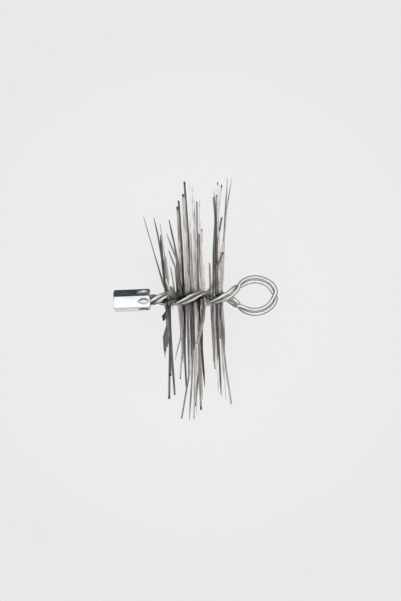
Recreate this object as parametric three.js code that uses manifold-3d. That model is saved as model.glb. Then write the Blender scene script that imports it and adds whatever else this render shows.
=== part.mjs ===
// A wire chimney brush: two hairpin wires twisted round a stack of flat steel tines, with an eye at one end
// and a long hexagon coupling nut crimped on the other. Millimetres, +Z up, the brush lying on its tine tips.
import * as THREE from "three";
import { mergeVertices } from "three/addons/utils/BufferGeometryUtils.js";
import Module from "manifold-3d";

const wasm = await Module();
wasm.setup();

// Coupling nut, for the screwed end of a sweeping rod
const NUT_LENGTH = 36;
const NUT_FLATS = 19; // across flats
const NUT_ROLL = THREE.MathUtils.degToRad(8.3); // how far the top flat leans from level
const CHAMFER_DEPTH = 1.4; // how far each end's chamfer cuts the corners back along the nut
const CHAMFER_SLOPE = THREE.MathUtils.degToRad(30);
const THREAD_MAJOR = 12;
const THREAD_PITCH = 1.75;
const THREAD_LENGTH = 17;
const MOUTH_DIAMETER = 12.8; // countersink at the mouth
const DENT_LENGTH = 12.4; // the crimp's dents, one on each flat
const DENT_WIDTH = 6.4;
const DENT_DEPTH = 1.5;
const DENT_MARGIN = 0.5; // between a dent and the nut's rear face

// Core wires, each bent into a hairpin and twisted
const WIRE_DIAMETER = 4;
const CLEARANCE = 0.3; // between pieces that lie against each other
const STEM_TURN = 34; // length of one full turn where the core is bare
const GRIP_TURN = 68; // length of one full turn where it grips the tines
const BARE_STEM = 14; // between the nut and the first tine
const GRIP_LENGTH = 58; // length of core that grips the tines
const TOP_CROSSING = 1.5; // beyond the last tine, where a pair of wires crosses over the top of the core
const PARTING = 3; // beyond the last tine, where the pairs of wires part
const EYE_RADIUS = 16; // to the middle of the wires
const EYE_NECK = 34; // from the last tine to the middle of the eye
const EYE_ROUND = THREE.MathUtils.degToRad(100); // the eye is round this far either way from its far end
const EYE_LEAN = THREE.MathUtils.degToRad(55); // how far its two wires lean from lying one above the other

// Tines, flat spring steel strips that lie across the core
const TINE_REACH = 120; // from the core's line to the longest tips
const TINE_WIDTH = 2;
const TINE_THICKNESS = 0.4;
const TINE_PITCH = 2.9; // from one column of strips to the next, along the core
const LAYER_PITCH = 0.44; // from one strip to the next in a column
const STACK_THICKNESS = 4.1; // the columns, squeezed between the wires
const STACK_HALF_WIDTH = 4.3;
const TABLE_BELOW_CORE = 113; // the lowest tips stand on the table
const FOOT_CUT = 0.5; // taken off the tips that stand
const BUNCHES = 4;

// The tines are worn: bent up or down and broken off. These are the distances from the core, seen from above,
// of the tips that stick out most on each column's +Y side and on its -Y side, as shares of the reach.
const PLUS_Y_TIP_SHARES = [
  [0.7, 0.66, 0.42], [0.61, 0.35], [], [0.25], [0.4], [0.64, 0.55], [0.8, 0.74], [0.86, 0.58], [0.96, 0.75],
  [0.94, 0.63], [0.9, 0.8], [0.78, 0.55], [0.78, 0.55, 0.33], [0.26], [], [0.27], [0.85],
  [0.83, 0.78, 0.65, 0.38], [0.93, 0.91], [0.97, 0.96, 0.5],
];
const MINUS_Y_TIP_SHARES = [
  [0.81, 0.48, 0.45, 0.17], [0.77, 0.6], [], [], [], [0.64, 0.5], [0.73, 0.5], [0.97, 0.67], [1, 0.53],
  [0.99, 0.96], [0.63], [0.92, 0.88, 0.82], [0.72], [0.42, 0.37], [], [0.69], [0.81], [0.79], [0.84, 0.68],
  [0.88],
];

const WELD = 0.0005; // corners nearer than this are one
const WIRE_RADIUS = WIRE_DIAMETER / 2;
const TOUCHING = WIRE_DIAMETER + CLEARANCE; // between the middles of two wires that lie together
const GRIP_START = NUT_LENGTH + BARE_STEM;
const GRIP_END = GRIP_START + GRIP_LENGTH;

const steel = (name, color, roughness) =>
  new THREE.MeshStandardMaterial({ name, color, roughness, metalness: 1 });
const zincPlate = steel("zinc_plate", 0xd5d9dc, 0.2);
const galvanisedWire = steel("galvanised_wire", 0xa9aca6, 0.35);
const springSteel = steel("spring_steel", 0x6f6a65, 0.45);

function solidOf(geometry) {
  const bare = new THREE.BufferGeometry();
  bare.setAttribute("position", geometry.getAttribute("position"));
  bare.setIndex(geometry.index);
  const merged = mergeVertices(bare);
  return new wasm.Manifold(
    new wasm.Mesh({
      numProp: 3,
      vertProperties: merged.attributes.position.array,
      triVerts: new Uint32Array(merged.index.array),
    }),
  );
}

function geometryOf(solid) {
  const mesh = solid.simplify(WELD).getMesh();
  const geometry = new THREE.BufferGeometry();
  geometry.setAttribute("position", new THREE.BufferAttribute(mesh.vertProperties, mesh.numProp));
  geometry.setIndex(new THREE.BufferAttribute(mesh.triVerts, 1));
  geometry.computeVertexNormals();
  return geometry;
}

// Joins rings of points, all alike in number, into one closed skin with flat ends.
function loft(rings) {
  const sides = rings[0].length;
  const faces = [];
  for (let ring = 0; ring + 1 < rings.length; ring++) {
    for (let side = 0; side < sides; side++) {
      const a = ring * sides + side;
      const b = ring * sides + ((side + 1) % sides);
      faces.push(a, b, a + sides, b, b + sides, a + sides);
    }
  }
  const last = (rings.length - 1) * sides;
  for (let side = 1; side + 1 < sides; side++) {
    faces.push(0, side + 1, side, last, last + side, last + side + 1);
  }
  const geometry = new THREE.BufferGeometry().setFromPoints(rings.flat());
  geometry.setIndex(faces);
  return geometry;
}

// The four corners of a strip's section, from its middle and half of each side.
const section = (middle, halfWidth, halfThickness) =>
  [
    [-1, -1],
    [1, -1],
    [1, 1],
    [-1, 1],
  ].map(([across, through]) =>
    middle.clone().addScaledVector(halfWidth, across).addScaledVector(halfThickness, through),
  );

// Turns a profile of [radius, distance along the core] about the core's line.
function turned(profile, segments) {
  const points = profile.map(([radius, along]) => new THREE.Vector2(radius, along));
  return new THREE.LatheGeometry(points, segments).rotateZ(-Math.PI / 2);
}

// Ways square to the core at an angle of turn from straight up: outward, and a quarter turn on from it.
const outward = (turn) => new THREE.Vector3(0, Math.sin(turn), Math.cos(turn));
const sideways = (turn) => new THREE.Vector3(0, Math.cos(turn), -Math.sin(turn));

// How fast the core turns, in radians to the millimetre. The twist eases from the bare stem's to the grip's.
function coreRate(along) {
  const before = THREE.MathUtils.clamp((GRIP_START - along) / BARE_STEM, 0, 1);
  return 2 * Math.PI * THREE.MathUtils.lerp(1 / GRIP_TURN, 1 / STEM_TURN, before);
}

// How far the core has turned, from the place where a pair of wires lies on top.
function coreTurn(along) {
  const before = Math.max(0, GRIP_START - along);
  const easing = Math.min(before, BARE_STEM);
  const tightened = easing ** 2 / (2 * BARE_STEM) + before - easing;
  const extra = 2 * Math.PI * (1 / STEM_TURN - 1 / GRIP_TURN) * tightened;
  return ((along - GRIP_END - TOP_CROSSING) * 2 * Math.PI) / GRIP_TURN - extra;
}

// How far out the middle of a pair of wires lies, and how far either side of it each wire does. Both grow
// with the slope of the twist, since wires that slope take more room across the core.
function pairPlace(along) {
  const half = TOUCHING / 2;
  const stemSlope = (half * 2 * Math.PI) / STEM_TURN;
  const stemOut = half / Math.sqrt(1 - stemSlope ** 2);
  const gripOut = STACK_THICKNESS / 2 + CLEARANCE + WIRE_RADIUS;
  const opened = THREE.MathUtils.smoothstep(along, NUT_LENGTH, GRIP_START);
  const out = THREE.MathUtils.lerp(stemOut, gripOut, opened);
  return { out, aside: half * Math.hypot(1, out * coreRate(along)) };
}

const threadDepth = (5 / 8) * THREAD_PITCH * Math.cos(Math.PI / 6);
const threadMinor = THREAD_MAJOR - 2 * threadDepth;
const stemPlace = pairPlace(NUT_LENGTH);
const socketRadius = Math.hypot(stemPlace.out, stemPlace.aside) + WIRE_RADIUS + CLEARANCE;

// The helical cutter for the nut's thread, which starts one pitch outside the mouth.
function threadCutter() {
  const stepsPerTurn = 15;
  const steps = Math.round((THREAD_LENGTH / THREAD_PITCH + 1) * stepsPerTurn);
  const inner = threadMinor / 2 - CLEARANCE;
  const outer = THREAD_MAJOR / 2;
  const outerHalf = THREAD_PITCH / 16;
  const innerHalf = outerHalf + (outer - inner) * Math.tan(Math.PI / 6);
  const rings = Array.from({ length: steps + 1 }, (_, step) => {
    const turns = step / stepsPerTurn;
    const corner = (radius, shift) =>
      outward(turns * 2 * Math.PI).multiplyScalar(radius).setX((turns - 1) * THREAD_PITCH + shift);
    return [
      corner(inner, -innerHalf),
      corner(outer, -outerHalf),
      corner(outer, outerHalf),
      corner(inner, innerHalf),
    ];
  });
  return solidOf(loft(rings));
}

function couplingNut() {
  const corner = NUT_FLATS / Math.sqrt(3);
  const hexagon = new THREE.CylinderGeometry(corner, corner, NUT_LENGTH, 6, 1);
  hexagon.rotateZ(-Math.PI / 2).translate(NUT_LENGTH / 2, 0, 0).rotateX(Math.PI / 6 + NUT_ROLL);

  const face = corner - CHAMFER_DEPTH / Math.tan(CHAMFER_SLOPE);
  const chamfered = turned(
    [
      [0, 0],
      [face, 0],
      [corner, CHAMFER_DEPTH],
      [corner, NUT_LENGTH - CHAMFER_DEPTH],
      [face, NUT_LENGTH],
      [0, NUT_LENGTH],
    ],
    48,
  );

  const overrun = (MOUTH_DIAMETER - threadMinor) / 2; // the countersink slopes at 45 degrees
  const bore = turned(
    [
      [0, -overrun],
      [MOUTH_DIAMETER / 2 + overrun, -overrun],
      [threadMinor / 2, overrun],
      [threadMinor / 2, THREAD_LENGTH],
      [socketRadius, THREAD_LENGTH],
      [socketRadius, NUT_LENGTH + overrun],
      [0, NUT_LENGTH + overrun],
    ],
    30,
  );

  let nut = solidOf(hexagon).intersect(solidOf(chamfered));
  nut = nut.subtract(solidOf(bore)).subtract(threadCutter());
  const dentMiddle = NUT_LENGTH - DENT_MARGIN - DENT_LENGTH / 2;
  for (let flat = 0; flat < 6; flat++) {
    const dent = new THREE.SphereGeometry(1, 12, 8);
    dent.scale(DENT_LENGTH / 2, DENT_WIDTH / 2, DENT_DEPTH);
    dent.translate(dentMiddle, 0, NUT_FLATS / 2).rotateX((flat * Math.PI) / 3 + NUT_ROLL);
    nut = nut.subtract(solidOf(dent));
  }
  const mesh = new THREE.Mesh(geometryOf(nut), zincPlate);
  mesh.name = "coupling_nut";
  return mesh;
}

// The middle line of one hairpin wire: a leg in each pair, and the eye between them. Side is -1 or 1.
function hairpinPath(side) {
  const wireStart = THREAD_LENGTH + WIRE_RADIUS;
  const parting = GRIP_END + PARTING;
  const eyeMiddle = new THREE.Vector3(GRIP_END + EYE_NECK, 0, 0);

  const leg = (pair) => {
    const steps = 44;
    return Array.from({ length: steps + 1 }, (_, step) => {
      const along = THREE.MathUtils.lerp(wireStart, parting, step / steps);
      const { out, aside } = pairPlace(along);
      return outward(coreTurn(along))
        .multiplyScalar(pair * out)
        .addScaledVector(sideways(coreTurn(along)), side * aside)
        .setX(along);
    });
  };

  // The wire's place beside the pair's middle, as it swings from its place in the core to its place in the eye.
  const beside = (point, way, swung) => {
    const inEye = new THREE.Vector3(0, -Math.sin(EYE_LEAN), -Math.cos(EYE_LEAN));
    const offset = sideways(coreTurn(parting)).lerp(inEye, THREE.MathUtils.smoothstep(swung, 0, 1));
    offset.addScaledVector(way, -offset.dot(way)).setLength(TOUCHING / 2);
    return point.clone().addScaledVector(offset, side);
  };

  const onEye = (angle) =>
    new THREE.Vector3(Math.cos(angle), Math.sin(angle), 0).multiplyScalar(EYE_RADIUS).add(eyeMiddle);
  const alongEye = (angle) => new THREE.Vector3(-Math.sin(angle), Math.cos(angle), 0);

  const arm = (pair) => {
    const steps = 9;
    const startHandleShare = 0.2;
    const endHandleShare = 0.5;
    const turn = coreTurn(parting);
    const { out } = pairPlace(parting);
    const start = outward(turn).multiplyScalar(pair * out).setX(parting);
    const startWay = sideways(turn).multiplyScalar(pair * out * coreRate(parting)).setX(1).normalize();
    const end = onEye(pair * EYE_ROUND);
    const endWay = alongEye(pair * EYE_ROUND).multiplyScalar(-pair);
    const span = start.distanceTo(end);
    const curve = new THREE.CubicBezierCurve3(
      start,
      start.clone().addScaledVector(startWay, startHandleShare * span),
      end.clone().addScaledVector(endWay, -endHandleShare * span),
      end,
    );
    return Array.from({ length: steps - 1 }, (_, step) => {
      const share = (step + 1) / steps;
      return beside(curve.getPoint(share), curve.getTangent(share), share);
    });
  };

  const roundSteps = 24;
  const round = Array.from({ length: roundSteps + 1 }, (_, step) => {
    const angle = THREE.MathUtils.lerp(-EYE_ROUND, EYE_ROUND, step / roundSteps);
    return beside(onEye(angle), alongEye(angle), 1);
  });

  const points = [...leg(-1), ...arm(-1), ...round, ...arm(1).reverse(), ...leg(1).reverse()];
  return new THREE.CatmullRomCurve3(points, false, "centripetal");
}

function coreWire(name, side) {
  const sides = 8;
  const corners = Array.from({ length: sides }, (_, corner) =>
    new THREE.Vector2(WIRE_RADIUS, 0).rotateAround(new THREE.Vector2(), (corner / sides) * 2 * Math.PI),
  );
  const wire = new THREE.ExtrudeGeometry(new THREE.Shape(corners), {
    steps: 120,
    bevelEnabled: false,
    extrudePath: hairpinPath(side),
  });
  const mesh = new THREE.Mesh(wire, galvanisedWire);
  mesh.name = name;
  return mesh;
}

// A repeatable number from -1 to 1 for each strip and each quality of it.
function varied(strip, quality) {
  const wave = Math.sin(strip * 12.9898 + quality * 78.233) * 43758.5453;
  return 2 * (wave - Math.floor(wave)) - 1;
}

// The shortest and longest share of the reach that a broken tine keeps, from its angle above level and its
// column's place, which runs from 0 at the first column to 1 at the last.
function brokenShares(angle, place) {
  const steepSine = 0.8;
  if (Math.sin(angle) < -steepSine) return [0.94, 1]; // the brush stands on these, so they are whole
  if (place < 0.3) return [0.14, 0.36];
  if (Math.sin(angle) > steepSine) return [0.4, 0.95];
  return place < 0.75 ? [0.24, 0.64] : [0.2, 0.52];
}

// The angle above level and the share of the reach of each tine on one side of a column, in layer order. Side
// is 1 or -1, for the two ends of each strip.
function tineRoutes(along, side, layerOuts, firstStrip) {
  const fan = THREE.MathUtils.degToRad(13); // between the middle of the stack and its outermost strips
  const fanStray = THREE.MathUtils.degToRad(1);
  const widestBend = THREE.MathUtils.degToRad(27); // away from the column, whose wires are in the way beyond
  const steep = THREE.MathUtils.degToRad(62);
  const upright = THREE.MathUtils.degToRad(82);

  const away = sideways(coreTurn(along)).multiplyScalar(side);
  const rise = Math.asin(away.z);
  const layerRise = Math.sign(outward(coreTurn(along)).z);
  const place = (along - GRIP_START) / GRIP_LENGTH;
  // On one side of each crossing the tines are pressed nearly upright and leave a gap.
  const pressed = Math.abs(rise) > steep && away.y * (place - 0.5) > 0;

  const routes = layerOuts.map((layerOut, layer) => {
    const strip = 2 * (firstStrip + layer) + (side > 0 ? 0 : 1);
    const spread = (fan * layerOut) / (STACK_THICKNESS / 2 - CLEARANCE);
    let angle = rise + layerRise * spread + fanStray * varied(strip, 2);
    if (pressed) angle = Math.sign(rise) * Math.max(Math.abs(angle), upright);
    return { angle, share: THREE.MathUtils.lerp(...brokenShares(angle, place), (varied(strip, 3) + 1) / 2) };
  });

  // The tines nearest to level have the tips that stick out most. They are longer, and bent so that the tip
  // lies where it should.
  routes.sort((one, other) => Math.abs(one.angle) - Math.abs(other.angle));
  const tipShares = away.y > 0 ? PLUS_Y_TIP_SHARES : MINUS_Y_TIP_SHARES;
  tipShares[Math.floor(place * tipShares.length)].forEach((tipShare, tip) => {
    const wanted = Math.sign(rise) * Math.acos(tipShare);
    const angle = THREE.MathUtils.clamp(wanted, rise - widestBend, rise + widestBend);
    routes[tip] = { angle, share: Math.min(tipShare / Math.cos(angle), 1) };
  });

  // Tines of one column spread in the order of their layers, so none crosses another.
  return routes.sort((one, other) => layerRise * (one.angle - other.angle));
}

// One half of a strip, from inside the stack to its tip.
function tine(along, layerOut, side, strip, { angle, share }) {
  const leanAtNut = side > 0 ? -12 : 0; // the first strips are bent to one side
  const leanAtEye = side > 0 ? 5 : 1.5;
  const leanStray = 0.2;
  const rootShare = 0.9; // of the stack's half width

  const turn = coreTurn(along);
  const away = sideways(turn).multiplyScalar(side);
  const place = (along - GRIP_START) / GRIP_LENGTH;
  const leanDegrees = leanAtNut * (1 - place) ** 4 + leanAtEye * place ** 3 + leanStray * varied(strip, 1);
  const lean = THREE.MathUtils.degToRad(leanDegrees);
  const way = new THREE.Vector3(0, Math.sign(away.y) * Math.cos(angle), Math.sin(angle));
  way.multiplyScalar(Math.cos(lean)).setX(Math.sin(lean));

  const rootOut = STACK_HALF_WIDTH * rootShare;
  const root = away.multiplyScalar(rootOut).addScaledVector(outward(turn), layerOut).setX(along);
  const toFloor = way.z < 0 ? (-TABLE_BELOW_CORE - FOOT_CUT - root.z) / way.z : Infinity;
  const tip = root.clone().addScaledVector(way, Math.min(TINE_REACH * share - rootOut, toFloor));

  const wide = new THREE.Vector3(1, 0, 0).projectOnPlane(way).setLength(TINE_WIDTH / 2);
  const thick = way.clone().cross(wide).setLength(TINE_THICKNESS / 2);
  return solidOf(loft([section(root, wide, thick), section(tip, wide, thick)]));
}

// The strips squeezed between the wires, which twist as the core does, from rings at these places along it.
function stack(places) {
  const rings = places.map((along) => {
    const wide = sideways(coreTurn(along)).multiplyScalar(STACK_HALF_WIDTH);
    const thick = outward(coreTurn(along)).multiplyScalar(STACK_THICKNESS / 2);
    return section(new THREE.Vector3(along, 0, 0), wide, thick);
  });
  return solidOf(loft(rings));
}

function tineBunch(bunch) {
  const length = GRIP_LENGTH / BUNCHES;
  const start = GRIP_START + bunch * length;
  const columns = Math.round(length / TINE_PITCH);
  const layers = Math.round((STACK_THICKNESS - 2 * CLEARANCE) / LAYER_PITCH);
  const middles = Array.from({ length: columns }, (_, column) => start + ((column + 0.5) / columns) * length);
  const besideColumn = (TINE_WIDTH + CLEARANCE) / 2;
  const parts = [
    stack([
      start + CLEARANCE / 2,
      ...middles.flatMap((middle) => [middle - besideColumn, middle + besideColumn]),
      start + length - CLEARANCE / 2,
    ]),
  ];
  const layerOuts = Array.from({ length: layers }, (_, layer) => (layer - (layers - 1) / 2) * LAYER_PITCH);
  middles.forEach((middle, column) => {
    const firstStrip = (bunch * columns + column) * layers;
    for (const side of [1, -1]) {
      tineRoutes(middle, side, layerOuts, firstStrip).forEach((route, layer) => {
        parts.push(tine(middle, layerOuts[layer], side, firstStrip + layer, route));
      });
    }
  });
  const standing = wasm.Manifold.union(parts).trimByPlane([0, 0, 1], -TABLE_BELOW_CORE);
  const mesh = new THREE.Mesh(geometryOf(standing), springSteel);
  mesh.name = `tine_bunch_${bunch + 1}`;
  return mesh;
}

const brush = new THREE.Group();
brush.add(couplingNut(), coreWire("core_wire_upper", -1), coreWire("core_wire_lower", 1));
for (let bunch = 0; bunch < BUNCHES; bunch++) brush.add(tineBunch(bunch));

// The origin is on the table, under the middle of the brush.
const extent = new THREE.Box3().setFromObject(brush);
const middle = extent.getCenter(new THREE.Vector3());
brush.position.set(-middle.x, -middle.y, -extent.min.z);

export default brush;
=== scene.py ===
import math
import random

import bmesh
import bpy
from mathutils import Matrix, Vector


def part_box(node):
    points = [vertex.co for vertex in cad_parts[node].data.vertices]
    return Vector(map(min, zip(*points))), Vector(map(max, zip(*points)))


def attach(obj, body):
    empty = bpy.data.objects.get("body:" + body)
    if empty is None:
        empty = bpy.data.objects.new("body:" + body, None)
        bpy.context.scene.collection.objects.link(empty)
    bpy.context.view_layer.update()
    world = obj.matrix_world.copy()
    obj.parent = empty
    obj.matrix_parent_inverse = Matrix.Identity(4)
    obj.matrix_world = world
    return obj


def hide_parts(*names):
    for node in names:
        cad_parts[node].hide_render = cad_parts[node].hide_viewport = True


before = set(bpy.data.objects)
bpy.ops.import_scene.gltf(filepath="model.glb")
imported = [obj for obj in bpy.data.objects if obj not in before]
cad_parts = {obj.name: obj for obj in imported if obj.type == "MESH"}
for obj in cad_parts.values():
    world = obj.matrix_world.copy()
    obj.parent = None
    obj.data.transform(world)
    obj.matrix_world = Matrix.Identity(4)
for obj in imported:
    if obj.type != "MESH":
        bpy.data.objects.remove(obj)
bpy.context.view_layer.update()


# Core wires: two lengths of galvanised steel wire, each folded into a hairpin. The folds lie together as the
# eye. The four legs are twisted in two pairs round the tines and on into the nut, which is crimped on them.
nut_low, nut_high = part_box("coupling_nut")
core_line = (nut_low + nut_high) / 2  # its y and z
wire_radius = 0.002
clearance = 0.0003  # between pieces that lie against each other
touching = 2 * wire_radius + clearance  # between the middles of two wires
stem_turn = 0.034  # length of a full turn where the core is bare
grip_turn = 0.068  # and where it grips the tines
bare_stem = 0.014  # between the nut and the first tine
grip_length = 0.058  # of core that grips the tines
grip_start = nut_high.x + bare_stem
grip_end = grip_start + grip_length
stack_thickness = 0.0041  # of the tines, squeezed between the wires
eye_radius = 0.016  # across the core, to the middle of the wires
eye_long_radius = 0.0205  # along it
eye_neck = 0.0295  # from the last tine to the middle of the eye
eye_round = math.radians(84)  # the eye goes round this far either way from its far end
eye_lean = math.radians(74)  # how far its two wires lean from lying one above the other


def outward(turn):
    return Vector((0, math.sin(turn), math.cos(turn)))


def sideways(turn):
    return Vector((0, math.cos(turn), -math.sin(turn)))


def on_core(x):
    return Vector((x, core_line.y, core_line.z))


def smooth(share):
    share = min(max(share, 0), 1)
    return share * share * (3 - 2 * share)


def core_rate(x):
    """How fast the core turns along its length. The twist eases from the bare stem's to the grip's."""
    before = min(max((grip_start - x) / bare_stem, 0), 1)
    return 2 * math.pi * (before / stem_turn + (1 - before) / grip_turn)


def core_turn(x):
    """How far the core has turned there, from the place where a pair of wires lies on top."""
    top_crossing = 0.0015  # beyond the last tine
    before = max(0, grip_start - x)
    easing = min(before, bare_stem)
    tightened = easing**2 / (2 * bare_stem) + before - easing
    extra = 2 * math.pi * (1 / stem_turn - 1 / grip_turn) * tightened
    return (x - grip_end - top_crossing) * 2 * math.pi / grip_turn - extra


def pair_place(x):
    """How far out the middle of a pair of wires lies, and how far either side of it each wire does."""
    half = touching / 2
    stem_out = half / math.sqrt(1 - (half * 2 * math.pi / stem_turn) ** 2)
    grip_out = stack_thickness / 2 + clearance + wire_radius
    opened = smooth((x - nut_high.x) / bare_stem)
    out = stem_out + (grip_out - stem_out) * opened
    return out, half * math.hypot(1, out * core_rate(x))


def hairpin(side):
    """The middle line of one wire: a leg in each pair, and its arms and the eye between them."""
    wire_start = nut_low.x + 0.019  # in the nut's socket
    parting = grip_end + 0.003  # of the two pairs
    eye_middle = on_core(grip_end + eye_neck)
    parting_turn = core_turn(parting)
    parting_out = pair_place(parting)[0]

    def leg(pair):
        steps = 170
        for step in range(steps + 1):
            x = wire_start + (parting - wire_start) * step / steps
            out, aside = pair_place(x)
            turn = core_turn(x)
            yield on_core(x) + pair * out * outward(turn) + side * aside * sideways(turn)

    def beside(point, way, swung):
        in_eye = Vector((0, -math.sin(eye_lean), -math.cos(eye_lean)))
        offset = sideways(parting_turn).lerp(in_eye, smooth(swung))
        offset -= offset.dot(way) * way
        return point + side * touching / 2 * offset.normalized()

    def on_eye(angle):
        return eye_middle + Vector((eye_long_radius * math.cos(angle), eye_radius * math.sin(angle), 0))

    def along_eye(angle):
        return Vector((-eye_long_radius * math.sin(angle), eye_radius * math.cos(angle), 0)).normalized()

    def arm(pair):
        steps = 36
        pull_from_core, pull_to_eye = 0.22, 0.42
        start = on_core(parting) + pair * parting_out * outward(parting_turn)
        swing = pair * parting_out * core_rate(parting) * sideways(parting_turn)
        start_way = (Vector((1, 0, 0)) + swing).normalized()
        end = on_eye(pair * eye_round)
        end_way = -pair * along_eye(pair * eye_round)
        span = (end - start).length
        a, b = start + pull_from_core * span * start_way, end - pull_to_eye * span * end_way
        for step in range(1, steps):
            t = step / steps
            u = 1 - t
            point = u**3 * start + 3 * u * u * t * a + 3 * u * t * t * b + t**3 * end
            way = u * u * (a - start) + 2 * u * t * (b - a) + t * t * (end - b)
            yield beside(point, way.normalized(), t)

    round_steps = 90
    angles = [eye_round * (2 * step / round_steps - 1) for step in range(round_steps + 1)]
    eye = [beside(on_eye(angle), along_eye(angle), 1) for angle in angles]
    return [*leg(-1), *arm(-1), *eye, *reversed(list(arm(1))), *reversed(list(leg(1)))]


def drawn_along(bm, outline, places, facts):
    """Draws an outline through the places, closes both ends and adds it to bm. Each of the facts is a named
    attribute for the material, with its value at a corner of a ring."""
    drawn = bmesh.new()
    layers = {drawn.verts.layers.float_vector.new(name): fact_at for name, fact_at in facts.items()}

    def note(corners, step):
        for corner, (x, y) in zip(corners, outline):
            for layer, fact_at in layers.items():
                corner[layer] = fact_at(step, x, y)

    corners = [drawn.verts.new(places[0] @ Vector((x, y, 0))) for x, y in outline]
    note(corners, 0)
    end = drawn.faces.new(corners)
    for step in range(1, len(places)):
        extruded = bmesh.ops.extrude_face_region(drawn, geom=[end], use_keep_orig=step == 1)
        end = next(part for part in extruded["geom"] if isinstance(part, bmesh.types.BMFace))
        moved = places[step] @ places[step - 1].inverted()
        bmesh.ops.transform(drawn, matrix=moved, verts=end.verts)
        note(end.verts, step)
    passed_on = bpy.data.meshes.new("drawn")
    drawn.to_mesh(passed_on)
    drawn.free()
    bm.from_mesh(passed_on)
    bpy.data.meshes.remove(passed_on)


def piece_from(bm, name, material, sharp_from):
    bmesh.ops.recalc_face_normals(bm, faces=bm.faces)
    mesh = bpy.data.meshes.new(name)
    bm.to_mesh(mesh)
    bm.free()
    mesh.materials.append(material)
    mesh.shade_smooth()
    mesh.set_sharp_from_angle(angle=sharp_from)
    piece = bpy.data.objects.new(name, mesh)
    bpy.context.scene.collection.objects.link(piece)
    return piece


def add_node(tree, kind, inputs=None, **settings):
    node = tree.nodes.new(kind)
    for name, value in settings.items():
        setattr(node, name, value)
    for socket, value in (inputs or {}).items():
        if isinstance(value, bpy.types.NodeSocket):
            tree.links.new(value, node.inputs[socket])
        else:
            node.inputs[socket].default_value = value
    return node


def ranged(tree, value, low, high, to_low=0.0, to_high=1.0):
    inputs = {"Value": value, "From Min": low, "From Max": high, "To Min": to_low, "To Max": to_high}
    return add_node(tree, "ShaderNodeMapRange", inputs).outputs[0]


def colour_mix(tree, share, a, b):
    # The colour sockets of a Mix node come after its number and vector sockets.
    return add_node(tree, "ShaderNodeMix", {0: share, 6: a, 7: b}, data_type="RGBA").outputs[2]


def new_group(name, inputs, outputs):
    group = bpy.data.node_groups.new(name, "ShaderNodeTree")
    for socket, kind in inputs.items():
        group.interface.new_socket(socket, in_out="INPUT", socket_type=kind)
    for socket, kind in outputs.items():
        group.interface.new_socket(socket, in_out="OUTPUT", socket_type=kind)
    return group, group.nodes.new("NodeGroupInput").outputs, group.nodes.new("NodeGroupOutput").inputs


# Lines that drawing or rolling leaves along a piece of steel, and cloudy patches on it.
drawn_lines, given, result = new_group(
    "drawn_lines",
    {
        "Vector": "NodeSocketVector",
        "Stretch": "NodeSocketVector",
        "Scale": "NodeSocketFloat",
        "Patch Stretch": "NodeSocketVector",
        "Patch Scale": "NodeSocketFloat",
    },
    {"Lines": "NodeSocketFloat", "Patches": "NodeSocketFloat"},
)
for stretch, scale, detail, low, high, out in (
    ("Stretch", "Scale", 4, 0.3, 0.7, "Lines"),
    ("Patch Stretch", "Patch Scale", 3, 0.36, 0.64, "Patches"),
):
    stretched = add_node(
        drawn_lines, "ShaderNodeVectorMath", {0: given["Vector"], 1: given[stretch]}, operation="MULTIPLY"
    )
    noise = add_node(
        drawn_lines,
        "ShaderNodeTexNoise",
        {"Vector": stretched.outputs[0], "Scale": given[scale], "Detail": detail, "Roughness": 0.6},
    )
    drawn_lines.links.new(ranged(drawn_lines, noise.outputs["Fac"], low, high), result[out])

# Dirt, rust and painted shade: a cover that sits where its share is high, with a ragged edge.
ragged_cover, given, result = new_group(
    "ragged_cover",
    {"Vector": "NodeSocketVector", "Scale": "NodeSocketFloat", "Share": "NodeSocketFloat"},
    {"Cover": "NodeSocketFloat"},
)
noise = add_node(
    ragged_cover,
    "ShaderNodeTexNoise",
    {"Vector": given["Vector"], "Scale": given["Scale"], "Detail": 5, "Roughness": 0.65},
)
spread_noise = ranged(ragged_cover, noise.outputs["Fac"], 0.3, 0.7)
over = add_node(
    ragged_cover, "ShaderNodeMath", {0: given["Share"], 1: spread_noise}, operation="SUBTRACT"
).outputs[0]
ragged_cover.links.new(ranged(ragged_cover, over, -0.06, 0.1), result["Cover"])


def new_material(name):
    material = bpy.data.materials.new(name)
    material.use_nodes = True
    tree = material.node_tree
    return material, tree, tree.nodes["Principled BSDF"]


def group_node(tree, group, inputs):
    return add_node(tree, "ShaderNodeGroup", inputs, node_tree=group).outputs


def attribute(tree, name):
    return add_node(tree, "ShaderNodeAttribute", attribute_name=name).outputs["Vector"]


def parts_of(tree, vector):
    return add_node(tree, "ShaderNodeSeparateXYZ", {"Vector": vector}).outputs


def bump_from(tree, shader, height, strength):
    depth = 0.00002
    bump = add_node(tree, "ShaderNodeBump", {"Strength": strength, "Distance": depth, "Height": height})
    tree.links.new(bump.outputs["Normal"], shader.inputs["Normal"])


dull_spangle = (0.64, 0.65, 0.62, 1)
light_spangle = (0.88, 0.89, 0.87, 1)
drawing_line = (0.45, 0.46, 0.44, 1)
# Painted shade, where a wire faces its partner or grips the tines.
groove_shade = (0.06, 0.056, 0.05, 1)

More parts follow.
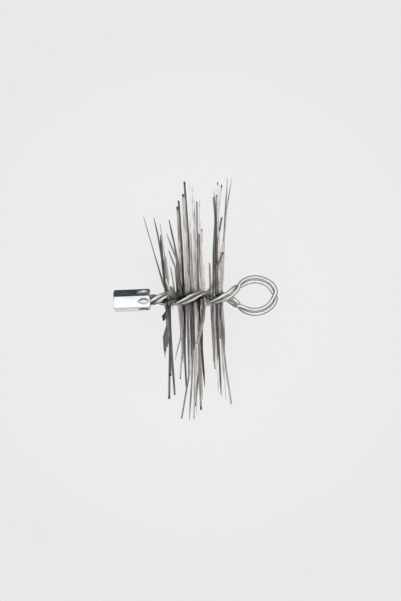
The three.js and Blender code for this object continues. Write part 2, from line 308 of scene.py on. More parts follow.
wire_zinc, tree, shader = new_material("galvanised_wire")
place = attribute(tree, "wire_place")
tucked = parts_of(tree, attribute(tree, "wire_tucked"))["X"]
marks = group_node(
    tree,
    drawn_lines,
    {
        "Vector": place,
        "Stretch": (1, 1, 0.03),
        "Scale": 2400,
        "Patch Stretch": (1, 1, 0.3),
        "Patch Scale": 420,
    },
)
spangle = colour_mix(tree, marks["Patches"], dull_spangle, light_spangle)
lined = colour_mix(tree, marks["Lines"], drawing_line, spangle)
# Painted shade darkens the wire and dulls its metal where it faces its partner or grips the tines.
painted_shade_share = ranged(tree, tucked, 0.35, 1.0, 0.0, 0.95)
painted_shade = group_node(tree, ragged_cover, {"Vector": place, "Scale": 700, "Share": painted_shade_share})["Cover"]
tree.links.new(colour_mix(tree, painted_shade, lined, groove_shade), shader.inputs["Base Color"])
tree.links.new(ranged(tree, marks["Patches"], 0, 1, 0.24, 0.12), shader.inputs["Roughness"])
tree.links.new(ranged(tree, painted_shade, 0, 1, 1.0, 0.6), shader.inputs["Metallic"])
bump_from(tree, shader, marks["Lines"], 0.25)

wire_sides = 20
wire_outline = []
for corner in range(wire_sides):
    swung = 2 * math.pi * corner / wire_sides
    wire_outline.append((wire_radius * math.cos(swung), wire_radius * math.sin(swung)))

for node_name, side in (("core_wire_upper", -1), ("core_wire_lower", 1)):
    path, partner = hairpin(side), hairpin(-side)
    ways = [(after - before).normalized() for before, after in zip(path, path[1:])]
    ways = [ways[0], *[(a + b).normalized() for a, b in zip(ways, ways[1:])], ways[-1]]
    turned = ways[0].to_track_quat("Z", "Y")
    lengths = [0]
    places = []
    for step, (point, way) in enumerate(zip(path, ways)):
        if step:
            turned = ways[step - 1].rotation_difference(way) @ turned
            lengths.append(lengths[-1] + (point - path[step - 1]).length)
        places.append(Matrix.Translation(point) @ turned.to_matrix().to_4x4())

    def place_at(step, x, y):
        return Vector((x, y, lengths[step]))

    def tucked_at(step, x, y):
        """How far this side of the wire faces its partner, or the tines that it grips. Shade is painted there.
        """
        fade = 0.004
        partner_share = 0.75
        facing = (places[step].to_3x3() @ Vector((x, y, 0))).normalized()
        to_partner = (partner[step] - path[step]).normalized()
        inward = on_core(path[step].x) - path[step]
        gripping = smooth((grip_end - path[step].x) / fade)
        partner_shaded = smooth((grip_end + fade - path[step].x) / (2 * fade))
        between = partner_share * facing.dot(to_partner) * partner_shaded
        return Vector((max(between, facing.dot(inward.normalized()) * gripping, 0), 0, 0))

    bm = bmesh.new()
    drawn_along(bm, wire_outline, places, {"wire_place": place_at, "wire_tucked": tucked_at})
    wire = piece_from(bm, node_name.replace("core", "round"), wire_zinc, math.radians(40))
    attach(wire, "root")
    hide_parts(node_name)


# Tines: flat strips of spring steel that pass right through the core. They are laid in flat between the two
# pairs of wires, and the twist fans them round and squeezes them. Use has bent, broken and rusted some.
tine_width = 0.002
tine_thickness = 0.0004
tine_reach = 0.12  # from the core's line to the longest tips
layers = 8  # strips in a column
layer_pitch = 0.00044
stack_half_width = 0.0043
bend_length = 0.006  # that a bend or a kink takes up
bend_out = stack_half_width + bend_length / 2  # the middle of the bend beside the core
bunches = 4
columns = 20
column_pitch = grip_length / columns
fan = math.radians(13)  # between the middle of a column and its outermost strips

# The tines' tone mixes these two, and is partly their own finish and partly painted shade and reflection.
dark_steel_and_shade = (0.031, 0.028, 0.026, 1)
bare_steel_and_sheen = (0.86, 0.825, 0.77, 1)
tip_soot = (0.035, 0.03, 0.027, 1)
rust_brown = (0.27, 0.17, 0.11, 1)


def math_node(tree, operation, a, b):
    return add_node(tree, "ShaderNodeMath", {0: a, 1: b}, operation=operation, use_clamp=True).outputs[0]


rolled_steel, tree, shader = new_material("spring_steel")
place = attribute(tree, "tine_place")
wear = attribute(tree, "tine_wear")
tone = parts_of(tree, place)["Z"]
worn = parts_of(tree, wear)
to_tip, rusty, dark_tip = worn["X"], worn["Y"], worn["Z"]
marks = group_node(
    tree,
    drawn_lines,
    {
        "Vector": place,
        "Stretch": (1, 0.02, 0.05),
        "Scale": 2600,
        "Patch Stretch": (1, 0.25, 0.1),
        "Patch Scale": 260,
    },
)
patchy_tone = math_node(tree, "MULTIPLY", tone, ranged(tree, marks["Patches"], 0, 1, 0.65, 1.2))
lined_tone = math_node(tree, "MULTIPLY", patchy_tone, ranged(tree, marks["Lines"], 0, 1, 0.55, 1.15))
steel = colour_mix(tree, lined_tone, dark_steel_and_shade, bare_steel_and_sheen)
tip_share = math_node(tree, "MULTIPLY", dark_tip, ranged(tree, to_tip, 0.0015, 0.0055, 1, 0))
tip_dirt = group_node(tree, ragged_cover, {"Vector": place, "Scale": 500, "Share": tip_share})["Cover"]
tipped = colour_mix(tree, tip_dirt, steel, tip_soot)
rust = group_node(tree, ragged_cover, {"Vector": place, "Scale": 140, "Share": rusty})["Cover"]
rusted = colour_mix(tree, math_node(tree, "MULTIPLY", rust, 0.6), tipped, rust_brown)
tree.links.new(rusted, shader.inputs["Base Color"])
unrusted = math_node(tree, "SUBTRACT", 1.0, rust)
metal = math_node(tree, "MULTIPLY", unrusted, ranged(tree, lined_tone, 0, 0.8, 0.45, 0.12))
tree.links.new(metal, shader.inputs["Metallic"])
smoothness = math_node(tree, "MULTIPLY", lined_tone, unrusted)
tree.links.new(ranged(tree, smoothness, 0, 1, 0.55, 0.26), shader.inputs["Roughness"])
bump_from(tree, shader, marks["Lines"], 0.3)

# The tines that show most, as they look from the camera: how light each is, partly from its own finish and
# partly as painted shade and reflection, how dark its tip is, its roll in degrees, and where it leaves the
# core. Then come its kinks, if it has any, and its tip, each along the core and across it. These places are
# in mm, from the nut's mouth and from the core's line.
mm = 0.001
seen_tines = (
    (0.22, 0.0, 66, 53.2, (50.6, 10.0), (31.9, 84.6)),
    (0.10, 0.0, 45, 51.0, (48.9, 38.0), (46.0, 61.0), (42.7, 79.0)),
    (0.35, 0.0, 40, 52.0, (50.0, 38.0), (47.6, 57.0)),
    (0.40, 0.0, 10, 53.6, (51.3, 42.0)),
    (0.02, 0.0, 0, 51.4, (50.9, 14.0)),
    (0.60, 0.0, 0, 56.6, (56.4, -3.0), (55.6, -8.5)),
    (0.60, 0.0, 0, 57.8, (57.6, -3.0), (57.0, -8.0)),
    (0.45, 0.0, 0, 55.4, (55.0, -3.5), (54.2, -9.5)),
    (0.38, 0.0, 0, 58.9, (58.4, 4.0), (57.0, 10.0)),
    (0.34, 0.0, 0, 60.0, (59.6, 4.0), (58.8, 9.0)),
    (0.55, 0.0, 60, 55.7, (53.6, 28.0), (50.5, 50.0), (48.4, 73.2)),
    (0.35, 0.0, 60, 60.5, (58.8, 16.0), (56.8, 29.8)),
    (0.28, 0.0, 40, 63.6, (61.6, 31.0), (55.8, 48.0)),
    (0.25, 0.3, 45, 65.0, (63.6, 38.0), (54.6, 65.7)),
    (0.20, 0.0, 55, 65.3, (64.0, 40.0), (57.3, 77.4)),
    (0.30, 0.0, 30, 64.4, (63.2, 40.0), (60.3, 58.0)),
    (0.60, 1.0, 25, 67.0, (66.3, 50.0), (65.7, 88.8)),
    (0.20, 0.4, 20, 69.0, (68.8, 45.0), (67.3, 96.6)),
    (0.78, 1.0, 12, 71.6, (71.8, 102.9)),
    (0.92, 0.0, 5, 72.6, (72.3, 70.0)),
    (0.80, 0.0, 20, 74.0, (73.0, 98.0)),
    (0.12, 1.0, 10, 76.0, (75.4, 60.0), (73.7, 114.6)),
    (0.90, 0.0, 70, 78.2, (78.6, 112.9)),
    (0.60, 0.0, 15, 77.4, (77.6, 76.0)),
    (0.88, 0.0, 60, 81.0, (81.1, 107.9)),
    (0.65, 0.0, 40, 81.8, (82.7, 96.3)),
    (0.95, 0.0, 6, 82.6, (82.4, 66.0)),
    (0.30, 0.0, 45, 84.6, (84.5, 74.0), (85.1, 93.0)),
    (0.85, 0.0, 70, 86.4, (87.0, 60.0), (87.5, 93.9)),
    (0.08, 0.0, 5, 86.0, (86.0, 36.0)),
    (0.80, 1.0, 25, 87.2, (87.6, 42.0), (88.8, 65.8)),
    (0.80, 0.0, 62, 88.4, (89.3, 31.0)),
    (0.40, 0.0, 45, 95.4, (95.3, 33.0)),
    (0.25, 0.0, 40, 98.4, (99.6, 45.0), (102.6, 76.0), (101.8, 96.0)),
    (0.45, 0.0, 60, 99.8, (101.5, 62.0), (103.4, 86.0), (102.4, 102.8)),
    (0.10, 0.0, 15, 100.8, (102.0, 48.0), (103.5, 91.0)),
    (0.40, 0.5, 55, 101.8, (104.6, 99.3)),
    (0.90, 1.0, 70, 103.0, (106.3, 112.1)),
    (0.85, 1.0, 68, 102.6, (104.0, 61.0), (106.8, 90.5), (109.9, 109.6)),
    (0.18, 0.0, 30, 101.5, (103.2, 53.0), (108.7, 78.6)),
    (0.25, 0.9, 0, 101.3, (102.0, 32.0), (108.5, 46.0)),
    (0.50, 0.0, 55, 106.4, (109.2, 49.0), (112.5, 84.5), (115.9, 115.9)),
    (0.55, 0.0, 60, 107.0, (110.3, 58.5), (114.5, 90.5), (119.8, 115.4)),
    (0.92, 0.0, 8, 104.4, (105.4, 66.0)),
    (0.95, 0.0, 8, 106.2, (106.8, 48.0)),
    (0.14, 0.9, 0, 52.6, (52.8, -9.5), (47.4, -16.5)),
    (0.12, 0.9, 0, 52.8, (53.0, -11.0), (47.7, -18.2)),
    (0.14, 0.9, 0, 53.2, (53.2, -12.5), (48.2, -19.8)),
    (0.20, 0.3, 0, 51.2, (51.2, -27.0), (47.6, -37.5), (47.9, -57.3)),
    (0.20, 0.0, 0, 51.8, (51.8, -31.0), (49.4, -38.5), (49.0, -53.0)),
    (0.22, 0.0, 0, 52.3, (52.2, -35.0), (51.2, -41.0), (50.6, -48.0)),
    (0.22, 0.9, 15, 53.6, (52.8, -50.0), (50.3, -97.7)),
    (0.18, 0.9, 8, 54.4, (53.7, -45.0), (52.5, -75.0)),
    (0.22, 0.0, 15, 55.6, (54.4, -40.0), (54.9, -62.0), (55.9, -92.2)),
    (0.50, 0.0, 40, 65.2, (64.4, -38.0), (57.9, -60.6)),
    (0.55, 0.9, 50, 65.2, (64.9, -51.0), (62.3, -77.4)),
    (0.60, 0.0, 15, 64.0, (65.0, -36.0)),
    (0.10, 0.0, 12, 68.7, (67.5, -60.0), (67.8, -87.6)),
    (0.35, 0.0, 15, 67.0, (66.4, -40.0)),
    (0.40, 0.3, 45, 71.0, (70.8, -76.0), (62.2, -116.9)),
    (0.90, 0.0, 5, 71.4, (71.0, -78.0)),
    (0.92, 0.0, 5, 73.0, (72.8, -85.0)),
    (0.35, 0.4, 35, 75.3, (75.2, -52.0), (73.8, -78.0), (69.4, -120.0)),
    (0.12, 0.0, 5, 77.0, (76.6, -52.0)),
    (0.20, 0.0, 5, 75.4, (75.6, -60.0)),
    (0.60, 0.6, 45, 77.4, (76.5, -79.0), (74.0, -119.0)),
    (0.85, 0.0, 62, 78.6, (77.0, -115.0)),
    (0.92, 0.0, 10, 80.3, (79.4, -76.0)),
    (0.30, 0.6, 30, 83.2, (81.6, -62.0), (76.1, -105.1)),
    (0.45, 0.9, 35, 81.8, (81.2, -109.9)),
    (0.50, 0.3, 35, 83.4, (82.6, -74.0), (83.0, -99.0)),
    (0.05, 0.0, 5, 84.9, (84.4, -50.0), (85.8, -86.5)),
    (1.00, 0.0, 8, 89.9, (85.9, -27.0), (77.4, -50.0)),
    (0.60, 0.0, 20, 90.4, (87.4, -22.0), (79.6, -44.0)),
    (0.25, 0.0, 10, 88.4, (85.0, -24.0), (79.5, -44.0)),
    (0.45, 0.0, 25, 95.5, (95.9, -60.0), (97.8, -83.2)),
    (0.80, 0.0, 62, 98.6, (99.1, -97.2)),
    (0.15, 0.6, 25, 100.0, (101.5, -94.9)),
    (0.60, 0.0, 45, 102.9, (104.6, -81.1)),
    (0.85, 0.0, 62, 104.4, (106.0, -100.7)),
    (0.45, 0.0, 25, 105.4, (104.9, -40.0), (107.6, -74.5), (111.1, -106.2)),
)

# Tines near the nut that are folded back over the core: the same, with the length in mm before the tip.
folded_tines = (
    (0.52, 0.0, 0, 54.6, 21, (53.6, 6.0)),
    (0.58, 0.0, 10, 55.2, 20, (54.8, 9.0)),
    (0.56, 0.0, 5, 56.4, 21, (56.4, 10.5)),
    (0.50, 0.0, 0, 57.2, 20, (58.0, 9.0)),
    (0.46, 0.0, 10, 58.2, 19, (59.6, 6.5)),
    (1.00, 0.0, 0, 57.0, 27, (52.2, 16.0)),
)

# How light the other tines of each column are, in hundredths, partly from their own finish and partly as
# painted shade and reflection, from the nut to the eye, on the core's +Y side and on its -Y side, and the
# columns whose other tines are pressed nearly upright there and leave a gap.
plus_y_tones = (22, 35, 40, 40, 18, 28, 20, 75, 30, 50, 75, 65, 12, 85, 50, 60, 35, 20, 95, 100)
minus_y_tones = (25, 40, 50, 50, 50, 28, 10, 75, 35, 12, 70, 20, 30, 80, 50, 50, 35, 12, 45, 45)
plus_y_gap = (2, 3, 13, 14)
minus_y_gap = (0, 1, 2, 3, 4, 12, 13, 14, 15)

# The camera's place, from the core's line and from the nut's mouth.
camera_above_core = 1.0
camera_along = 0.0849
camera_aside = -0.0027

chance = random.Random(7)


def varied(strip, quality):
    """A repeatable number from -1 to 1 for each half strip and each quality of it."""
    wave = math.sin(strip * 12.9898 + quality * 78.233) * 43758.5453
    return 2 * (wave - math.floor(wave)) - 1


def other_route(number, column, side, half, rise, fanned):
    """The angle above level, the length, the leans and the finish of a tine that isn't among those that
    show most. Its tone is partly its own finish and partly painted shade and reflection. Its half of the strip
    is 1 on the core's +Y side or -1 on the other, and its rise is the angle at which it leaves the core."""
    steep_sine = 0.8
    pressed_aside = 0.007  # how far aside the tip of a tine pressed upright lies at most
    progress = (column + 0.5) / columns
    angle = rise + fanned + math.radians(varied(number, 2))
    pressed = column in (plus_y_gap if half > 0 else minus_y_gap)
    if math.sin(angle) < -steep_sine or pressed and rise < 0:
        shortest, longest = 0.94, 1  # the brush stands on these, so they are whole
    elif progress < 0.3:
        shortest, longest = 0.14, 0.36
    elif pressed:
        shortest, longest = 0.4, 0.95
    elif progress < 0.75:
        shortest, longest = 0.24, 0.64
    else:
        shortest, longest = 0.2, 0.52
    share = shortest + (longest - shortest) * (varied(number, 3) + 1) / 2
    if pressed:
        steep = math.acos(pressed_aside / (share * tine_reach))
        angle = math.copysign(min(max(abs(angle), steep), math.pi - steep), rise)
    lean_at_nut, lean_at_eye = (-4, 2) if side > 0 else (0, 0)  # degrees
    lean = 0.2 * varied(number, 1)
    if not pressed:
        lean += lean_at_nut * (1 - progress) ** 4 + lean_at_eye * progress**3
    tones = plus_y_tones if half > 0 else minus_y_tones
    tone_share = tones[column] / 100 + chance.uniform(-0.2, 0.14)
    tip_share = chance.choice((0, 0, 0, 0.5))
    roll = chance.gauss(0, 30)
    return angle, share * tine_reach, [(0, math.radians(lean))], (tone_share, tip_share, roll)


def seen_route(x, half, rise, seen):
    """The same for a tine that is seen to pass through these places. It leaves the core in line with its
    strip and bends beside it. Stubs whose tips lie close to the core keep low."""
    close = 0.025
    steepest_stub = math.radians(45)
    widest_bend = math.radians(27)
    shortest_part = 0.001  # between two kinks
    tone_share, tip_share, roll, root, *places = seen
    start, length = x - nut_low.x, bend_out
    tip_along, tip_aside = places[-1][0] * mm, abs(places[-1][1]) * mm
    camera_out = half * camera_aside
    angle = math.copysign(min(abs(rise), steepest_stub), rise)
    if tip_aside > close:
        # Tips nearer to the camera look further out, so the angle is found in a few rounds.
        rounds = 5
        free = math.sqrt((tine_reach - bend_out) ** 2 - (tip_along - start) ** 2)
        for _ in range(rounds):
            lifted = bend_out * math.sin(rise) + free * math.sin(angle)
            aside = (tip_aside - camera_out) * (1 - lifted / camera_above_core) + camera_out
            level = (aside - bend_out * math.cos(rise)) / free
            wanted = math.copysign(math.acos(min(1, level)), rise)
            angle = min(max(wanted, rise - widest_bend), rise + widest_bend)
    leans = []
    gone = 0
    for along, aside in places:
        seen_out = (abs(aside) * mm - camera_out) / camera_above_core
        bend_lift = bend_out * math.sin(rise)
        to_bend = bend_out * math.cos(rise) - camera_out
        reached = seen_out * (camera_above_core - bend_lift) - to_bend
        reached = max(reached / (math.cos(angle) + seen_out * math.sin(angle)), gone + shortest_part)
        lifted = bend_lift + reached * math.sin(angle)
        under = camera_along + (along * mm - camera_along) * (1 - lifted / camera_above_core)
        leans.append((length if gone else 0, math.atan2(under - start, reached - gone)))
        length += math.hypot(under - start, reached - gone)
        start, gone = under, reached
    return angle, min(length, tine_reach), leans, (tone_share, tip_share, roll)


def folded_route(x, half, rise, folded):
    """The same for a tine that is folded back over the core."""
    climb = 0.6  # about how much of its free length it rises by
    tone_share, tip_share, roll, root, length, (along, across) = folded
    free = length * mm - bend_out
    shrunk = 1 - (bend_out + climb * free) / camera_above_core
    to_along = camera_along + (along * mm - camera_along) * shrunk - (x - nut_low.x)
    to_aside = camera_aside + (across * mm - camera_aside) * shrunk - half * bend_out * math.cos(rise)
    upward = math.sqrt(max(free**2 - to_along**2 - to_aside**2, 0))
    lean = math.atan2(to_along, math.hypot(upward, to_aside))
    return math.atan2(upward, half * to_aside), length * mm, [(0, lean)], (tone_share, tip_share, roll)


def tine_routes(x, column, side):
    """How the tines on one side of a column leave the core, and the route of each, in layer order."""
    turn = core_turn(x)
    across = sideways(turn) * side
    half, rise = math.copysign(1, across.y), math.asin(across.z)
    layer_rise = math.copysign(1, outward(turn).z)
    routes = []
    for layer in range(layers):
        number = 2 * (column * layers + layer) + (0 if side > 0 else 1)
        fanned = layer_rise * fan * layer_outs[layer] / (stack_thickness / 2 - clearance)
        routes.append(other_route(number, column, side, half, rise, fanned))
    first = x - nut_low.x - column_pitch / 2

    def rooted_here(tines):
        return [tine for tine in tines if 0 <= tine[3] * mm - first < column_pitch]

    # The tines nearest to level are those whose tips stick out most, and the most upright are folded back.
    routes.sort(key=lambda route: abs(route[0]))
    seen_here = [seen for seen in rooted_here(seen_tines) if seen[-1][1] * half > 0]
    seen_here.sort(key=lambda seen: -abs(seen[-1][1]))
    routes[: len(seen_here)] = [seen_route(x, half, rise, seen) for seen in seen_here]
    folded_here = rooted_here(folded_tines) if rise > 0 else []
    routes[layers - len(folded_here) :] = [folded_route(x, half, rise, folded) for folded in folded_here]
    return half, rise, sorted(routes, key=lambda route: layer_rise * route[0])


def tine_places(x, beside, layer_out, half, rise, angle, reach, leans, roll, point_share):
    """The places along one half of a strip, from the middle of the core to its tip, and how far out each is.
    It starts beside its column, comes into line with it further out, and may roll about its own length."""
    in_line_at = 0.03
    rolled_at = min(0.07, 0.7 * reach)
    narrowing = 0.012  # length of the worn end
    last_ring = reach - 0.0025
    closest_rings = 0.0004
    kink_rings = [out + step for out, _ in leans[1:] for step in (-bend_length / 2, 0, bend_length / 2)]
    even_rings = [share * reach for share in (0.09, 0.16, 0.28, 0.42, 0.56, 0.7, 0.84)]
    outs = sorted({0, stack_half_width, *even_rings, *kink_rings, last_ring, reach})
    outs = [out for out, after in zip(outs, outs[1:]) if after - out > closest_rings] + [reach]
    point = on_core(x) + outward(core_turn(x)) * layer_out
    places = []
    gone = 0
    for out in outs:
        opened = smooth((out - stack_half_width) / bend_length)
        now_rise = rise + (angle - rise) * opened
        leaning = leans[0][1]
        for kink_out, lean in leans[1:]:
            leaning += (lean - leaning) * smooth((out - kink_out) / bend_length + 0.5)
        leaning *= opened
        way = Vector((0, half * math.cos(now_rise), math.sin(now_rise))) * math.cos(leaning)
        way.x = math.sin(leaning)
        point = point + way * (out - gone)
        gone = out
        wide = Vector((1, 0, 0)) - way.x * way
        wide.normalize()
        wide.rotate(Matrix.Rotation(roll * smooth((out - stack_half_width) / rolled_at), 3, way))
        thick = way.cross(wide)
        worn_share = 1 if out == reach else smooth(1 - (reach - out) / narrowing)
        narrowed = 1 - (1 - point_share) * worn_share
        place = Matrix((wide * narrowed, thick, way)).transposed().to_4x4()
        place.translation = point + Vector((beside * (1 - smooth(out / in_line_at)), 0, 0))
        places.append((place, out))
    return places


foot_height = 0.0015  # of the lowest tips above the floor
core_shade_share = 0.85
sheltered_rise = math.radians(60)  # painted shade darkens tines where the wires shelter them, not steeper ones
core_rust_share, core_rust_length = 0.12, 0.02  # a little more rust lies beside the core
square_ends_from = 0.8  # a tip this dark is nearly square, and the others are worn to a point
corner_signs = ((-1, -1), (1, -1), (1, 1), (-1, 1))
tine_outline = [(x * tine_width / 2, y * tine_thickness / 2) for x, y in corner_signs]
layer_outs = [(layer - (layers - 1) / 2) * layer_pitch for layer in range(layers)]
# One half of a strip runs back to the core, so its way and thickness are turned round.
flip = Matrix.Diagonal((1, -1, -1, 1))

for bunch in range(bunches):
    bm = bmesh.new()
    for column in range(bunch * columns // bunches, (bunch + 1) * columns // bunches):
        x = grip_start + (column + 0.5) * column_pitch
        both_sides = {side: tine_routes(x, column, side) for side in (1, -1)}
        for layer in range(layers):
            strip_number = column * layers + layer
            halves = {}
            for side, (half, rise, routes) in both_sides.items():
                angle, reach, leans, (tone_share, tip_share, roll) = routes[layer]
                if angle < 0:
                    reach = min(reach, (core_line.z - foot_height) / -math.sin(angle))
                beside = column_pitch / 4 * (1 if layer % 2 and column < columns - 1 else -1)
                roll = math.radians(roll) * chance.choice((-1, 1))
                point_share = chance.choice((0.15, 0.3, 0.45, 0.85)) if tip_share < square_ends_from else 0.9
                places = tine_places(
                    x, beside, layer_outs[layer], half, rise, angle, reach, leans, roll, point_share
                )
                rust_share = max(0, chance.gauss(0, 0.13))
                core_shade = 0 if rise > sheltered_rise else core_shade_share
                halves[side] = (places, reach, min(1, max(0, tone_share)), rust_share, tip_share, core_shade)
            strip = []
            for side in (-1, 1):
                places, reach, tone_share, rust_share, tip_share, core_shade = halves[side]
                for place, out in places if side > 0 else reversed(places):
                    # Both halves start in the middle of the core, and that place is drawn once.
                    if out or side > 0:
                        near_core = max(0, 1 - out / core_rust_length)
                        wear = Vector((reach - out, rust_share + core_rust_share * near_core, tip_share))
                        # Painted shade: the tone darkens beside the core, where the wires shelter a tine.
                        painted_core_shade = core_shade * (1 - smooth((out - stack_half_width) / bend_length))
                        tone_here = tone_share * (1 - painted_core_shade)
                        strip.append((place if side > 0 else place @ flip, out * side, tone_here, wear))

            def place_at(step, across, through):
                """Where this is on the strip, and its tone. Each strip starts elsewhere in the pattern."""
                return Vector((across + 0.01 * strip_number, strip[step][1], strip[step][2]))

            def wear_at(step, across, through):
                return strip[step][3]

            rings = [part[0] for part in strip]
            drawn_along(bm, tine_outline, rings, {"tine_place": place_at, "tine_wear": wear_at})
    tines = piece_from(bm, f"flat_tines_{bunch + 1}", rolled_steel, math.radians(30))
    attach(tines, "root")
    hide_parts(f"tine_bunch_{bunch + 1}")


# Coupling nut: a long hexagon nut of zinc plated steel, with a thread at its open end for a sweeping rod.
# Its other end is a plain socket that a press has crimped on the twisted stem, with a dent in each flat.
nut_length = nut_high.x - nut_low.x
nut_flats = 0.019  # across flats
nut_roll = math.radians(-8.3)
chamfer_depth = 0.0011  # how far each end's chamfer cuts the corners back along the nut
chamfer_slope = math.radians(30)
thread_major = 0.012
thread_pitch = 0.00175
thread_length = 0.017
mouth_diameter = 0.0128  # of the countersink
mouth_depth = 0.0012
dent_length = 0.0124
dent_width = 0.0064
dent_depth = 0.0015
dent_margin = 0.0005  # between a dent and the nut's rear face
edge_radius = 0.0004

dull_plate = (0.78, 0.8, 0.825, 1)
light_plate = (0.9, 0.915, 0.93, 1)
machining_line = (0.66, 0.68, 0.7, 1)
shade_band = (0.3, 0.32, 0.36, 1)  # painted shade along one side of each flat, for its darker reflection
crimp_shade = (0.42, 0.405, 0.36, 1)
dark_speck = (0.3, 0.3, 0.3, 1)

bright_zinc, tree, shader = new_material("bright_zinc")
place = add_node(tree, "ShaderNodeTexCoord").outputs["Object"]
marks = group_node(
    tree,
    drawn_lines,
    {
        "Vector": place,
        "Stretch": (0.05, 1, 1),
        "Scale": 1500,
        "Patch Stretch": (0.5, 1, 1),
        "Patch Scale": 220,
    },
)
plated = colour_mix(tree, marks["Patches"], dull_plate, light_plate)
lined = colour_mix(tree, marks["Lines"], machining_line, plated)
on_flat = parts_of(tree, attribute(tree, "flat_place"))
# Painted shade: each flat darkens towards one side, where it would mirror a darker room.
shade_band_share = ranged(tree, on_flat["X"], 0.1, 1.0, 0, 0.8)
shade_band_share = math_node(tree, "MULTIPLY", shade_band_share, ranged(tree, marks["Lines"], 0, 1, 1, 0.3))
band_shaded = colour_mix(tree, shade_band_share, lined, shade_band)
crimp_share = math_node(tree, "MULTIPLY", on_flat["Y"], ranged(tree, marks["Lines"], 0, 1, 1, 0.25))
crimped = colour_mix(tree, crimp_share, band_shaded, crimp_shade)
specks = group_node(tree, ragged_cover, {"Vector": place, "Scale": 900, "Share": 0.06})["Cover"]
tree.links.new(colour_mix(tree, specks, crimped, dark_speck), shader.inputs["Base Color"])
shader.inputs["Metallic"].default_value = 1
tree.links.new(ranged(tree, marks["Patches"], 0, 1, 0.24, 0.12), shader.inputs["Roughness"])
bump_from(tree, shader, marks["Lines"], 0.12)


def flat_turn(flat):
    """Which way one of the nut's six flats faces, as an angle about the core."""
    return flat * math.pi / 3 + nut_roll


def hexagon_outline():
    """The angle about the core, and the distance from its line, of points round the nut, with its corners
    rounded."""
    corner_out = nut_flats / math.sqrt(3)
    flat_half = corner_out / 2 - edge_radius * math.tan(math.pi / 6)
    flat_steps = 20
    corner_steps = 4
    points = []
    for flat in range(6):
        for step in range(flat_steps):
            points.append((flat, Vector((flat_half * (2 * step / flat_steps - 1), nut_flats / 2))))
        middle = Vector((flat_half, nut_flats / 2 - edge_radius))
        for step in range(corner_steps):
            swung = math.pi / 3 * step / corner_steps
            points.append((flat, middle + edge_radius * Vector((math.sin(swung), math.cos(swung)))))
    return [(flat_turn(flat) + math.atan2(point.x, point.y), point.length) for flat, point in points]


def thread_radius(along, angle):
    """The threaded bore's radius, for a thread of the usual metric form."""
    thread_depth = 5 / 8 * thread_pitch * math.cos(math.pi / 6)
    half_root, half_opening = 1 / 16, 3 / 8  # shares of the pitch
    phase = (along / thread_pitch - angle / (2 * math.pi)) % 1
    from_groove = abs(phase - 0.5)
    sunk = min(1, max(0, 1 - (from_groove - half_root) / (half_opening - half_root)))
    fading = smooth((thread_length - along) / thread_pitch)
    return thread_major / 2 - thread_depth * (1 - sunk * fading)


outline = hexagon_outline()
face_radius = nut_flats / math.sqrt(3) - chamfer_depth / math.tan(chamfer_slope)
cone = [(out - face_radius) * math.tan(chamfer_slope) for angle, out in outline]
stem_out, stem_aside = pair_place(nut_high.x)
socket_radius = math.hypot(stem_out, stem_aside) + wire_radius + clearance
ring_step = 0.00045
body_start = chamfer_depth + 0.0002  # clear of the chamfers
body_steps = round((nut_length - 2 * body_start) / ring_step)
socket_edge = 0.0003  # the chamfer at its mouth
socket_middle = nut_length - 0.009
steps_in_pitch = 8
thread_steps = steps_in_pitch * round(thread_length / thread_pitch)

# Each ring gives its distance from the mouth and from the core's line, at every point of the outline.
nut_rings = [[(along, out) for along, (angle, out) in zip(cone, outline)]]
for step in range(body_steps + 1):
    along = body_start + (nut_length - 2 * body_start) * step / body_steps
    nut_rings.append([(along, out) for angle, out in outline])
nut_rings.append([(nut_length - along, out) for along, (angle, out) in zip(cone, outline)])
for along, out in (
    (nut_length, face_radius),
    (nut_length, socket_radius + socket_edge),
    (nut_length - socket_edge, socket_radius),
    (socket_middle, socket_radius),
    (thread_length, socket_radius),
):
    nut_rings.append([(along, out)] * len(outline))
for step in range(thread_steps + 1):
    along = thread_length + (mouth_depth - thread_length) * step / thread_steps
    nut_rings.append([(along, thread_radius(along, angle)) for angle, out in outline])
nut_rings.append([(0, mouth_diameter / 2)] * len(outline))
nut_rings.append([(0, face_radius)] * len(outline))
nut_rings.append(nut_rings[0])

bm = bmesh.new()


def set_ring(corners, ring):
    for corner, (along, out), (angle, _) in zip(corners, ring, outline):
        corner.co = on_core(nut_low.x + along) + outward(angle) * out


corners = [bm.verts.new() for _ in outline]
set_ring(corners, nut_rings[0])
edges = [bm.edges.new(pair) for pair in zip(corners, [*corners[1:], corners[0]])]
for ring in nut_rings[1:]:
    drawn = bmesh.ops.extrude_edge_only(bm, edges=edges)["geom"]
    corners = [part for part in drawn if isinstance(part, bmesh.types.BMVert)]
    edges = [part for part in drawn if isinstance(part, bmesh.types.BMEdge) and part.is_boundary]
    set_ring(corners, ring)
# The last ring lies on the first one and is joined to it.
bmesh.ops.remove_doubles(bm, verts=bm.verts, dist=0.0000005)

# For the material: how far across its flat each point lies, from -1 to 1, and how far into a dent.
on_face = 0.00002
pointed = 0.35  # the dent narrows by this share towards the mouth
flat_place = bm.verts.layers.float_vector.new("flat_place")
dent_middle = nut_high.x - dent_margin - dent_length / 2
for corner in bm.verts:
    from_core = corner.co - on_core(dent_middle)
    for flat in range(6):
        angle = flat_turn(flat)
        if from_core.dot(outward(angle)) < nut_flats / 2 - on_face:
            continue
        corner[flat_place].x = from_core.dot(sideways(angle)) / (nut_flats / 2 / math.sqrt(3))
        if abs(from_core.x) > dent_length / 2:
            continue
        along = from_core.x / (dent_length / 2)
        half_width = dent_width / 2 * (1 if along > 0 else 1 + pointed * along)
        aside = from_core.dot(sideways(angle)) / half_width
        inside = 1 - along**2 - aside**2
        if inside > 0:
            corner[flat_place].y = smooth(inside * 4)
            corner.co -= outward(angle) * dent_depth * inside * smooth(inside * 8)
nut = piece_from(bm, "crimped_nut", bright_zinc, math.radians(28))
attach(nut, "root")
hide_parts("coupling_nut")


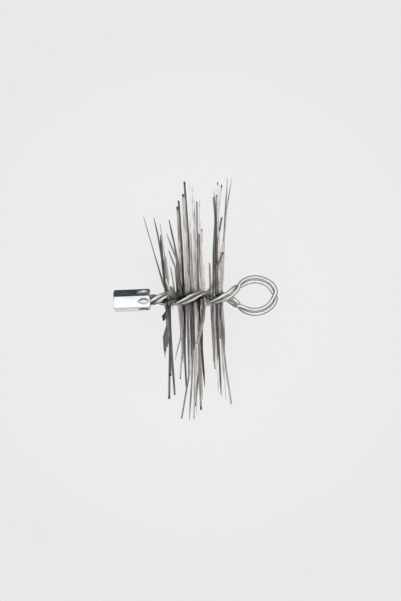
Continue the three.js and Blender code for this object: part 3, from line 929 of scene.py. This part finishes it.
# Floor, light and camera: a pale floor that glows a little, so that shadows stay faint, under a broad soft
# light. Polished metal also mirrors a darker room low down, beyond the pale sheet that the brush lies on.
# The sheet is painted lighter near the brush, which fills in its shadow, and darker further off: a painted
# pool of light.
sheet_lit_near = (0.175, 0.175, 0.176, 1)
sheet_dim_far = (0.128, 0.128, 0.129, 1)
dim_room = (0.008, 0.01, 0.018, 1)
floor_glow = (1, 1, 1.005, 1)
no_glow = (0, 0, 0, 1)

bm = bmesh.new()
bmesh.ops.create_grid(bm, x_segments=1, y_segments=1, size=4)
pale, tree, shader = new_material("pale_floor")
ground = add_node(tree, "ShaderNodeTexCoord").outputs["Object"]
distance = add_node(tree, "ShaderNodeVectorMath", {0: ground}, operation="LENGTH").outputs["Value"]
mirrored = add_node(tree, "ShaderNodeLightPath").outputs["Is Glossy Ray"]
dim = math_node(tree, "MULTIPLY", mirrored, ranged(tree, distance, 0.16, 0.36))
# Painted pool of light: the sheet is lighter near the brush and darker further off.
sheet = colour_mix(tree, ranged(tree, distance, 0.05, 0.3), sheet_lit_near, sheet_dim_far)
tree.links.new(colour_mix(tree, dim, sheet, dim_room), shader.inputs["Base Color"])
tree.links.new(colour_mix(tree, dim, floor_glow, no_glow), shader.inputs["Emission Color"])
shader.inputs["Emission Strength"].default_value = 0.62
shader.inputs["Roughness"].default_value = 0.95
floor = piece_from(bm, "floor", pale, math.radians(30))

low_light = (0.1, 0.105, 0.12, 1)
halfway_light = (0.76, 0.76, 0.765, 1)
top_light = (1.4, 1.4, 1.4, 1)
seen_sky = (0.8, 0.8, 0.81, 1)

world = bpy.data.worlds.new("studio")
bpy.context.scene.world = world
world.use_nodes = True
world.cycles.sampling_method = "NONE"
sky = world.node_tree
direction = add_node(sky, "ShaderNodeTexCoord").outputs["Generated"]
height = parts_of(sky, direction)["Z"]
ramp = add_node(sky, "ShaderNodeValToRGB", {"Fac": height})
ramp.color_ramp.elements[0].position = 0.12
ramp.color_ramp.elements[0].color = low_light
ramp.color_ramp.elements[1].position = 0.9
ramp.color_ramp.elements[1].color = top_light
halfway = ramp.color_ramp.elements.new(0.55)
halfway.color = halfway_light
ray = add_node(sky, "ShaderNodeLightPath").outputs
unmirrored = colour_mix(sky, ray["Is Camera Ray"], top_light, seen_sky)
mixed = colour_mix(sky, ray["Is Glossy Ray"], unmirrored, ramp.outputs["Color"])
sky.links.new(mixed, sky.nodes["Background"].inputs["Color"])

bpy.context.scene.view_settings.view_transform = "Standard"

frame_height_px = 601
px = 0.000981  # size of a pixel at the core
camera_data = bpy.data.cameras.new("camera")
camera_data.sensor_width = 36
camera_data.lens = camera_data.sensor_width * camera_above_core / (frame_height_px * px)
camera = bpy.data.objects.new("camera", camera_data)
bpy.context.scene.collection.objects.link(camera)
camera.location = (nut_low.x + camera_along, core_line.y + camera_aside, core_line.z + camera_above_core)
photo_turn = math.radians(2.25)  # the brush lies a little askew in the frame
camera.rotation_euler = (0, 0, -photo_turn)
bpy.context.scene.camera = camera
